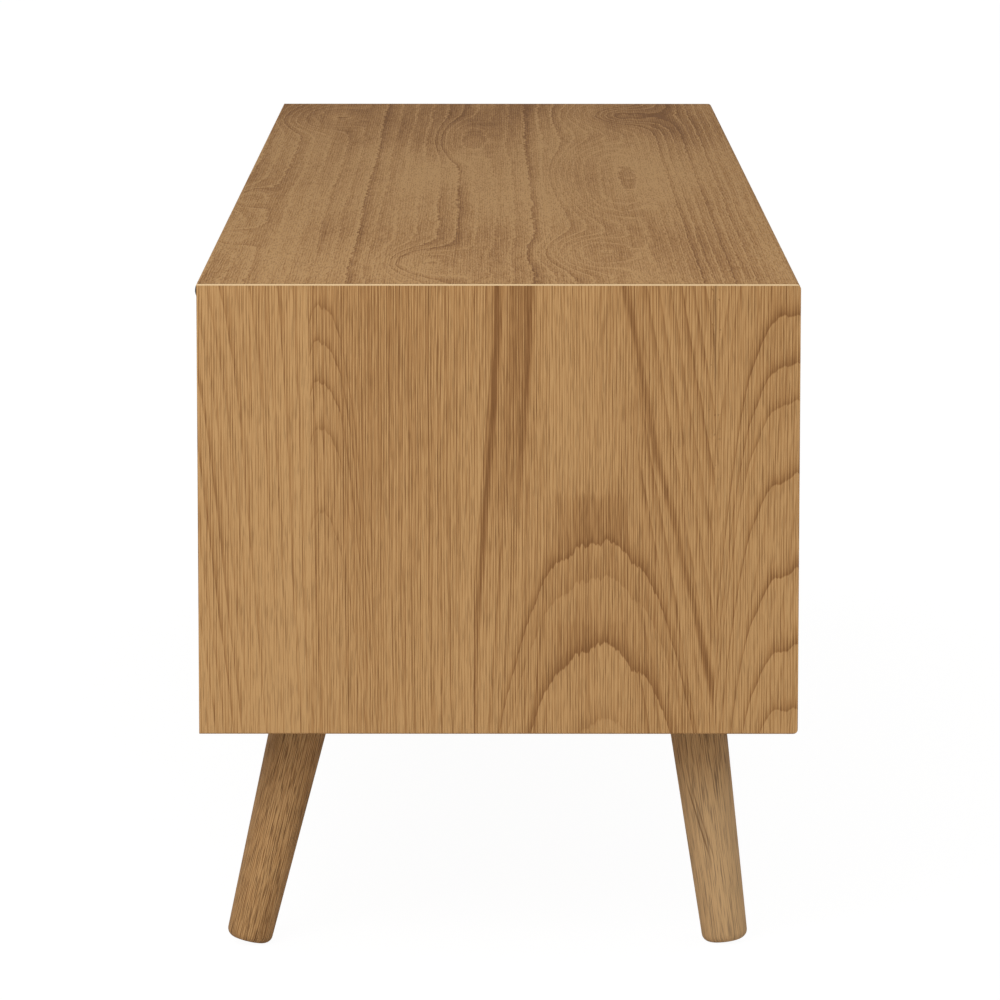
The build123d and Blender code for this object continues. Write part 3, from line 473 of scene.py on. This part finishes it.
def top_material():
    """Rings with long loops and a short ripple, each ring with a pale line beside it."""
    g = Graph("oak_top")
    low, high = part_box("top_panel")
    across = g.y - low.y - (high.z - g.z)
    along = high.x - g.x
    bent_across = wander(g, across, along * 0.35, seed=2.0, sideways=0.009, lengthways=0.0,
                         ragged=0.0)[0]

    rings = bent_across / TOP_RING_WIDTH + 5.0 * g.rise(across, 0.320, 0.400, smooth=False)
    for middle_along, middle_across, half_length, half_width, height, flatness in TOP_HILLS:
        rings = rings + hill(bent_across, along, middle_across, middle_along, half_width, half_length,
                             height, flatness)
    rings = rings + 0.65 * (g.noise(across * 60.0, along * 50.0, 14.0, 2.0) - 0.5)
    dark = ring_lines(g, rings + FIRST_RING, 2.0)
    pale = ring_lines(g, rings + (FIRST_RING + PALE_LEAD), 3.0)

    patches = g.noise(across * 12.0, along * 1.8, 5.0, 2.0) - 0.5
    ripple = g.noise(rings * 5.0, along * 24.0, 8.0, 2.0) - 0.5
    # Painted light and shade along the top: lighter from 0.20 m to 0.60 m from the right-hand end, and
    # much darker towards the far end, where less light falls.
    tone = (-0.13 + patches + 0.75 * ripple - 0.60 * pale
            - g.rise(along, 0.20, 0.60, 0.0, 0.10) + g.rise(along, 0.95, 1.60, 0.0, 0.44))

    colour, roughness = oak_surface(g, across, along, dark, seed=2.0, tone=tone, contrast=0.9,
                                    lines=0.20)
    to_end = high.x - g.x.size()
    colour = g.blend(g.rise(to_end, 0.001, 0.009, 0.30, 0.0), colour, OAK_DARK)
    # A painted highlight along the top's eased corners at each end.
    colour = g.blend(to_end.below(EDGE_HIGHLIGHT_WIDTH), colour, OAK_PALE_AND_HIGHLIGHT)
    return g.finish(colour, roughness + 0.15, Specular_IOR_Level=0.09)


def leaves_material(name, across_axis, along_axis, depth_axis, seed, leaf_width=0.16, tone=0.0):
    """Oak veneer laid in leaves of one width, each with its own arches, for boards seen less.

    The grain runs on round the long edges, since the depth in the board counts as width too.
    """
    beyond = 5.0           # keeps the count of leaves and rings above zero
    arch_width = 0.038
    ring_length = 0.11
    g = Graph(name)
    across = getattr(g, across_axis) + getattr(g, depth_axis)
    along = getattr(g, along_axis)
    leaf = ((across + beyond) / leaf_width).floor()
    in_leaf = (across + beyond) - leaf * leaf_width
    chance = g.random(leaf, seed)
    bent_across, bent_along = wander(g, in_leaf, along + 3.0 * chance, seed)
    middle = leaf_width * (0.30 + 0.4 * chance)
    rings = (((bent_across - middle).size() / arch_width) ** 2.4
             + (bent_along + beyond) / ring_length + leaf * 37.0)
    shift = 0.12 * (g.random(leaf, seed + 1.0) - 0.5) + tone
    colour, roughness = oak_surface(g, across, along, 0.9 * ring_lines(g, rings, seed), seed, shift)
    return g.finish(colour, roughness, Specular_IOR_Level=0.20)


LEG_RADIUS = 0.018         # about half way down
LEG_HEAD_RADIUS = 0.021    # half the width of its slanting top, along Y
LEG_RING_WIDTH = 0.0042
PITH_FROM_LEG_X = 0.055    # how far the middle of the rings lies from the leg's own middle
PITH_FROM_LEG_Y = 0.030


def split_leg(g, colour, round_leg):
    """Two fine cracks, side by side, that run slantwise round the leg about half way up."""
    slant = 0.18
    gap = 0.0027
    from_split = round_leg + 0.0059 + slant * (g.z - 0.063)
    shown = g.rise(g.z, 0.055, 0.072) * g.fall(g.z, 0.100, 0.122)
    first = g.fall(from_split.size(), 0.0002, 0.0009)
    second = g.fall((from_split - gap).size(), 0.0002, 0.0008)
    return g.blend(0.62 * first.at_least(0.7 * second) * shown, colour, OAK_PORE)


def leg_material(leg, lean, seed, tone, pore_length, contrast, paleness, split):
    """Solid oak: rings round a pith that lies outside the leg, with the grain along the leg.

    lean is how far the leg leans to the front or back, in degrees. paleness is how far its foot
    is blended towards pale oak; its top gets a quarter as much, a painted shade under the cabinet.
    """
    g = Graph(f"oak_{leg}")
    low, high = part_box(leg)
    middle_x = (low.x + high.x) / 2.0
    side = 1.0 if (low.y + high.y) > 0 else -1.0
    top_y = (high.y - LEG_HEAD_RADIUS) if side < 0 else (low.y + LEG_HEAD_RADIUS)
    down = high.z - g.z
    across = g.y - top_y - side * math.tan(math.radians(lean)) * down
    depth = g.x - middle_x

    bend = 0.004 * (g.noise(across * 30.0, g.z * 6.0, seed, 2.0) - 0.5)
    from_pith = across + PITH_FROM_LEG_Y + bend
    beside = depth + PITH_FROM_LEG_X
    rings = (from_pith * from_pith + beside * beside).root() / LEG_RING_WIDTH + 1.6 * g.z
    dark = 0.6 * ring_lines(g, rings, seed)

    outward = depth * (1.0 if middle_x > 0 else -1.0)
    round_leg = LEG_RADIUS * g.math("ARCTAN2", across, outward)
    colour, roughness = oak_surface(g, 1.5 * round_leg, g.z, dark, seed, tone, pore_length, contrast,
                                    lines=0.62)
    # Painted shade: the top of each leg, just under the cabinet, is blended only a quarter as far
    # towards pale oak, so it stays darker.
    colour = g.blend(paleness * g.rise(down, 0.010, 0.070, 0.25, 1.0), colour, OAK_PALE_AND_HIGHLIGHT)
    if split:
        colour = split_leg(g, colour, round_leg)
    return g.finish(colour, roughness, Specular_IOR_Level=0.20)


# ---------------------------------------------------------------------------------------------
# Other woods
# ---------------------------------------------------------------------------------------------

def plywood_material(name, across_axis, along_axis, layer_axis, seed):
    """Pale birch plywood, whose layers show as stripes on its edges."""
    layer_thickness = 0.0013
    g = Graph(name)
    across = getattr(g, across_axis)
    along = getattr(g, along_axis)
    layer = (getattr(g, layer_axis) / layer_thickness).floor()
    stripe = g.random(layer, seed)
    figure = g.noise(across * 30.0, along * 2.5, seed, 3.0)
    fibres = g.noise(across * 900.0, along * 14.0, seed + 2.0, 2.0)
    shade = 0.55 * figure + 0.30 * fibres + 0.25 * stripe - 0.05
    colour = g.ramp(shade, (0.0, (0.74, 0.58, 0.38)), (0.55, (0.64, 0.46, 0.27)),
                    (1.0, (0.46, 0.29, 0.14)))
    g.bump(fibres, 0.00008)
    return g.finish(colour, 0.46 + 0.2 * fibres, Specular_IOR_Level=0.35)


def beech_material():
    """Turned beech with short brown flecks, its grain along X."""
    g = Graph("beech_dowels")
    fibres = g.noise(g.y * 500.0, g.x * 30.0, g.z * 500.0, 2.0)
    specks = g.rise(g.noise(g.y * 900.0, g.x * 300.0, g.z * 900.0, 1.0), 0.62, 0.72)
    colour = g.ramp(fibres, (0.2, (0.62, 0.42, 0.25)), (0.8, (0.48, 0.30, 0.16)))
    colour = g.blend(specks * 0.35, colour, (0.30, 0.17, 0.08))
    g.bump(fibres, 0.0001)
    return g.finish(colour, 0.55 + 0.15 * fibres)


# ---------------------------------------------------------------------------------------------
# Metals and plastics
# ---------------------------------------------------------------------------------------------

def bronze_material():
    """Dark patinated bronze, turned about Y, with faint rings from the tool."""
    g = Graph("dark_bronze")
    patches = g.noise(g.x * 90.0, g.y * 90.0, g.z * 90.0, 4.0)
    turning = g.noise(g.y * 5200.0, 0.3, 0.7, 1.0)
    colour = g.ramp(patches, (0.3, (0.030, 0.023, 0.016)), (0.7, (0.075, 0.050, 0.030)))
    g.bump(0.6 * turning + 0.4 * patches, 0.00004)
    return g.finish(colour, 0.30 + 0.16 * patches + 0.06 * turning, Metallic=0.9)


def zinc_material():
    """Zinc-plated steel, drawn along Y, with faint crystals and stains."""
    g = Graph("zinc_plate")
    spangle = g.cells(g.x * 420.0, g.y * 420.0, g.z * 420.0)
    stain = g.noise(g.x * 70.0, g.y * 70.0, g.z * 70.0, 3.0)
    drawn = g.noise(g.y * 25.0, g.x * 2600.0, g.z * 2600.0, 2.0)
    colour = g.ramp(0.5 * spangle + 0.6 * stain,
                    (0.2, (0.62, 0.64, 0.66)), (0.6, (0.50, 0.51, 0.51)), (0.9, (0.43, 0.42, 0.37)))
    g.bump(0.5 * drawn + 0.3 * spangle, 0.00005)
    return g.finish(colour, 0.26 + 0.16 * stain + 0.10 * drawn, Metallic=1.0)


def polished_material():
    """Bright steel with a smear of grease."""
    g = Graph("polished_balls")
    smear = g.noise(g.x * 600.0, g.y * 600.0, g.z * 600.0, 3.0)
    colour = g.ramp(smear, (0.3, (0.80, 0.81, 0.82)), (0.7, (0.66, 0.66, 0.66)))
    g.bump(smear, 0.00001)
    return g.finish(colour, 0.06 + 0.12 * smear, Metallic=1.0)


def brass_material():
    """Brass brushed along X, with dull patches."""
    g = Graph("satin_brass")
    tarnish = g.noise(g.x * 120.0, g.y * 120.0, g.z * 120.0, 4.0)
    brushed = g.noise(g.x * 60.0, g.y * 2600.0, g.z * 900.0, 2.0)
    colour = g.ramp(tarnish, (0.3, (0.66, 0.49, 0.22)), (0.75, (0.44, 0.30, 0.12)))
    g.bump(brushed, 0.00003)
    return g.finish(colour, 0.28 + 0.18 * tarnish + 0.08 * brushed, Metallic=1.0)


def plastic_material(name, light, dark, roughness, grain):
    """Moulded plastic with a fine eroded texture whose pits are grain metres across."""
    g = Graph(name)
    pits = g.noise(g.x / grain, g.y / grain, g.z / grain, 3.0)
    flow = g.noise(g.x * 40.0, g.y * 40.0, g.z * 40.0, 2.0)
    colour = g.ramp(0.5 * pits + 0.5 * flow, (0.3, light), (0.7, dark))
    g.bump(pits, 0.00005)
    return g.finish(colour, roughness + 0.2 * (pits - 0.5))


def magnet_material():
    """Dark sintered powder, whose grains just show."""
    g = Graph("sintered_magnet")
    grains = g.cells(g.x * 1500.0, g.y * 1500.0, g.z * 1500.0)
    colour = g.ramp(grains, (0.0, (0.070, 0.070, 0.075)), (0.8, (0.14, 0.14, 0.145)))
    g.bump(grains, 0.00004)
    return g.finish(colour, 0.48 + 0.2 * grains, Metallic=0.6)


def casting_material():
    """A rough casting under black powder coat."""
    g = Graph("coated_casting")
    peel = g.noise(g.x * 900.0, g.y * 900.0, g.z * 900.0, 2.0)
    sand = g.noise(g.x * 160.0, g.y * 160.0, g.z * 160.0, 3.0)
    colour = g.ramp(sand, (0.3, (0.050, 0.048, 0.046)), (0.7, (0.085, 0.080, 0.075)))
    g.bump(0.7 * peel + 0.3 * sand, 0.00012)
    return g.finish(colour, 0.50 + 0.2 * (peel - 0.5), Metallic=0.3)


# ---------------------------------------------------------------------------------------------
# Every CAD node gets its material
# ---------------------------------------------------------------------------------------------

paint(end_panel_material("oak_right_end", seed=1.0), "right_end_panel")
paint(end_panel_material("oak_left_end", seed=4.0), "left_end_panel")
paint(top_material(), "top_panel")
paint(leaves_material("oak_along", "y", "x", "z", seed=12.0),
      "bottom_panel", "niche_shelf", "left_shelf", "right_shelf")
paint(leaves_material("oak_upright", "y", "z", "x", seed=15.0),
      "left_partition", "right_partition")
paint(leaves_material("oak_fronts", "z", "x", "y", seed=18.0, leaf_width=0.131),
      "left_door", "right_door", "drawer_front")
paint(leaves_material("oak_back", "x", "z", "y", seed=21.0, leaf_width=0.18, tone=0.05),
      "left_back_panel", "centre_back_panel", "right_back_panel")
for leg, lean, seed, tone, pore_length, contrast, paleness, split in (
        ("front_left_leg", 13.3, 31.0, -0.10, 0.015, 2.1, 0.03, False),
        ("front_right_leg", 13.3, 32.0, -0.14, 0.014, 2.3, 0.03, False),
        ("rear_left_leg", 7.5, 33.0, -0.36, 0.020, 2.1, 0.22, False),
        ("rear_right_leg", 7.5, 34.0, -0.42, 0.022, 2.8, 0.32, True)):
    paint(leg_material(leg, lean, seed, tone, pore_length, contrast, paleness, split), leg)

paint(plywood_material("birch_sides", "z", "y", "x", seed=41.0),
      "drawer_left_side", "drawer_right_side")
paint(plywood_material("birch_back", "z", "x", "y", seed=42.0), "drawer_back")
paint(plywood_material("birch_bottom", "y", "x", "z", seed=43.0), "drawer_bottom", "mitre_splines")
paint(beech_material(), "carcass_dowels", "drawer_dowels")
paint(bronze_material(), "left_door_knob", "right_door_knob", "drawer_knob")
paint(zinc_material(), "back_panel_screws", "case_hardware_screws", "case_rail_screws",
      "drawer_rail_screws", "drawer_knob_screw", "left_knob_screw", "right_knob_screw",
      "left_door_screws", "right_door_screws", "leg_plate_screws", "hanger_bolts", "shelf_pins",
      "left_door_strike", "right_door_strike", "left_slide_case_rail", "right_slide_case_rail",
      "left_slide_middle_rail", "right_slide_middle_rail",
      "left_slide_drawer_rail", "right_slide_drawer_rail")
paint(polished_material(), "left_slide_balls", "right_slide_balls")
paint(brass_material(), "case_pivot_plates", "left_door_pivot_leaves", "right_door_pivot_leaves")
paint(plastic_material("nylon", light=(0.78, 0.76, 0.71), dark=(0.70, 0.67, 0.61),
                       roughness=0.45, grain=0.0006), "pivot_washers")
paint(plastic_material("dark_plastic", light=(0.036, 0.033, 0.030), dark=(0.022, 0.020, 0.018),
                       roughness=0.50, grain=0.0005), "cable_grommets", "door_catches")
paint(magnet_material(), "catch_magnets")
paint(casting_material(), "front_leg_plates", "rear_leg_plates")


# ---------------------------------------------------------------------------------------------
# Floor, light and camera
# ---------------------------------------------------------------------------------------------

FLOOR_SIZE = 30.0          # from the middle to each side
FLOOR_CARD = 0.80          # how much light the floor reflects onto the cabinet
FLOOR_SHADOW = 0.08        # how much of the shadow the camera sees
FLOOR_WHITE = 1.04         # how bright the camera sees the floor
BACKDROP_WHITE = 1.1       # how bright the camera sees the surroundings
HORIZON_LIGHT = 0.55       # how brightly the surroundings light the cabinet
ZENITH_LIGHT = 0.62
KEY_PLACE = (2.4, -0.7, 1.45)
KEY_TARGET = (0.6, 0.0, 0.3)
KEY_SIZE = 1.2
KEY_POWER = 17.0           # watts


def floor():
    """White paper that shows only a hint of shadow, yet reflects light like pale card."""
    size = FLOOR_SIZE
    corners = [(-size, -size, 0), (size, -size, 0), (size, size, 0), (-size, size, 0)]
    mesh = bpy.data.meshes.new("floor")
    mesh.from_pydata(corners, [], [(0, 1, 2, 3)])
    piece = bpy.data.objects.new("floor", mesh)
    bpy.context.scene.collection.objects.link(piece)
    g = Graph("studio_floor")
    rays = g.tree.nodes.new("ShaderNodeLightPath")
    seen = Value(g, rays.outputs["Is Camera Ray"])
    paper = g.noise(g.x * 8.0, g.y * 8.0, 0.0, 3.0)
    card = g.ramp(paper, (0.3, (FLOOR_CARD,) * 3), (0.7, (FLOOR_CARD + 0.01,) * 3))
    colour = g.blend(seen, card, (FLOOR_SHADOW,) * 3)
    material = g.finish(colour, 0.9, Specular_IOR_Level=0.0)
    g.shader.inputs["Emission Color"].default_value = (1.0, 1.0, 1.0, 1.0)
    g.feed(g.shader.inputs["Emission Strength"], (FLOOR_WHITE - FLOOR_SHADOW) * seen)
    mesh.materials.append(material)


def key_light():
    """A square softbox beyond the cabinet's right-hand end, a little to the front."""
    light = bpy.data.lights.new("key_light", "AREA")
    light.shape = "RECTANGLE"
    light.size = KEY_SIZE
    light.size_y = KEY_SIZE
    light.energy = KEY_POWER
    piece = bpy.data.objects.new("key_light", light)
    piece.location = KEY_PLACE
    piece.rotation_euler = (Vector(KEY_TARGET) - Vector(KEY_PLACE)).to_track_quat("-Z", "Y").to_euler()
    bpy.context.scene.collection.objects.link(piece)


def surroundings():
    """A plain bright room: white to the eye; as a light, bright above and dimmer at the horizon."""
    world = bpy.data.worlds.new("studio")
    bpy.context.scene.world = world
    world.use_nodes = True
    tree = world.node_tree
    sky = tree.nodes["Background"]
    sky.inputs["Color"].default_value = (1.0, 1.0, 1.0, 1.0)
    place = tree.nodes.new("ShaderNodeTexCoord")
    split = tree.nodes.new("ShaderNodeSeparateXYZ")
    height = tree.nodes.new("ShaderNodeMapRange")
    height.inputs["From Min"].default_value = 0.0
    height.inputs["From Max"].default_value = 0.6
    height.inputs["To Min"].default_value = HORIZON_LIGHT
    height.inputs["To Max"].default_value = ZENITH_LIGHT
    tree.links.new(place.outputs["Generated"], split.inputs["Vector"])
    tree.links.new(split.outputs["Z"], height.inputs["Value"])
    rays = tree.nodes.new("ShaderNodeLightPath")
    share = tree.nodes.new("ShaderNodeMapRange")
    tree.links.new(height.outputs[0], share.inputs["To Min"])
    share.inputs["To Max"].default_value = BACKDROP_WHITE
    tree.links.new(rays.outputs["Is Camera Ray"], share.inputs["Value"])
    tree.links.new(share.outputs[0], sky.inputs["Strength"])


def camera():
    """Looks along the cabinet from beyond its right-hand end, a little from above."""
    data = bpy.data.cameras.new("camera")
    data.sensor_width = 36.0
    data.lens = 213.68
    data.clip_start = 0.05
    data.clip_end = 100.0
    piece = bpy.data.objects.new("camera", data)
    piece.location = (4.7316, 0.0108, 0.8642)
    pitch = math.radians(7.96)
    yaw = math.radians(0.046)
    roll = math.radians(0.028)
    facing = Euler((math.radians(90.0) - pitch, 0.0, math.radians(90.0) - yaw), "XYZ").to_matrix()
    piece.rotation_euler = (facing @ Euler((0.0, 0.0, roll), "XYZ").to_matrix()).to_euler()
    bpy.context.scene.collection.objects.link(piece)
    bpy.context.scene.camera = piece


floor()
surroundings()
key_light()
camera()
bpy.context.scene.view_settings.view_transform = "Standard"
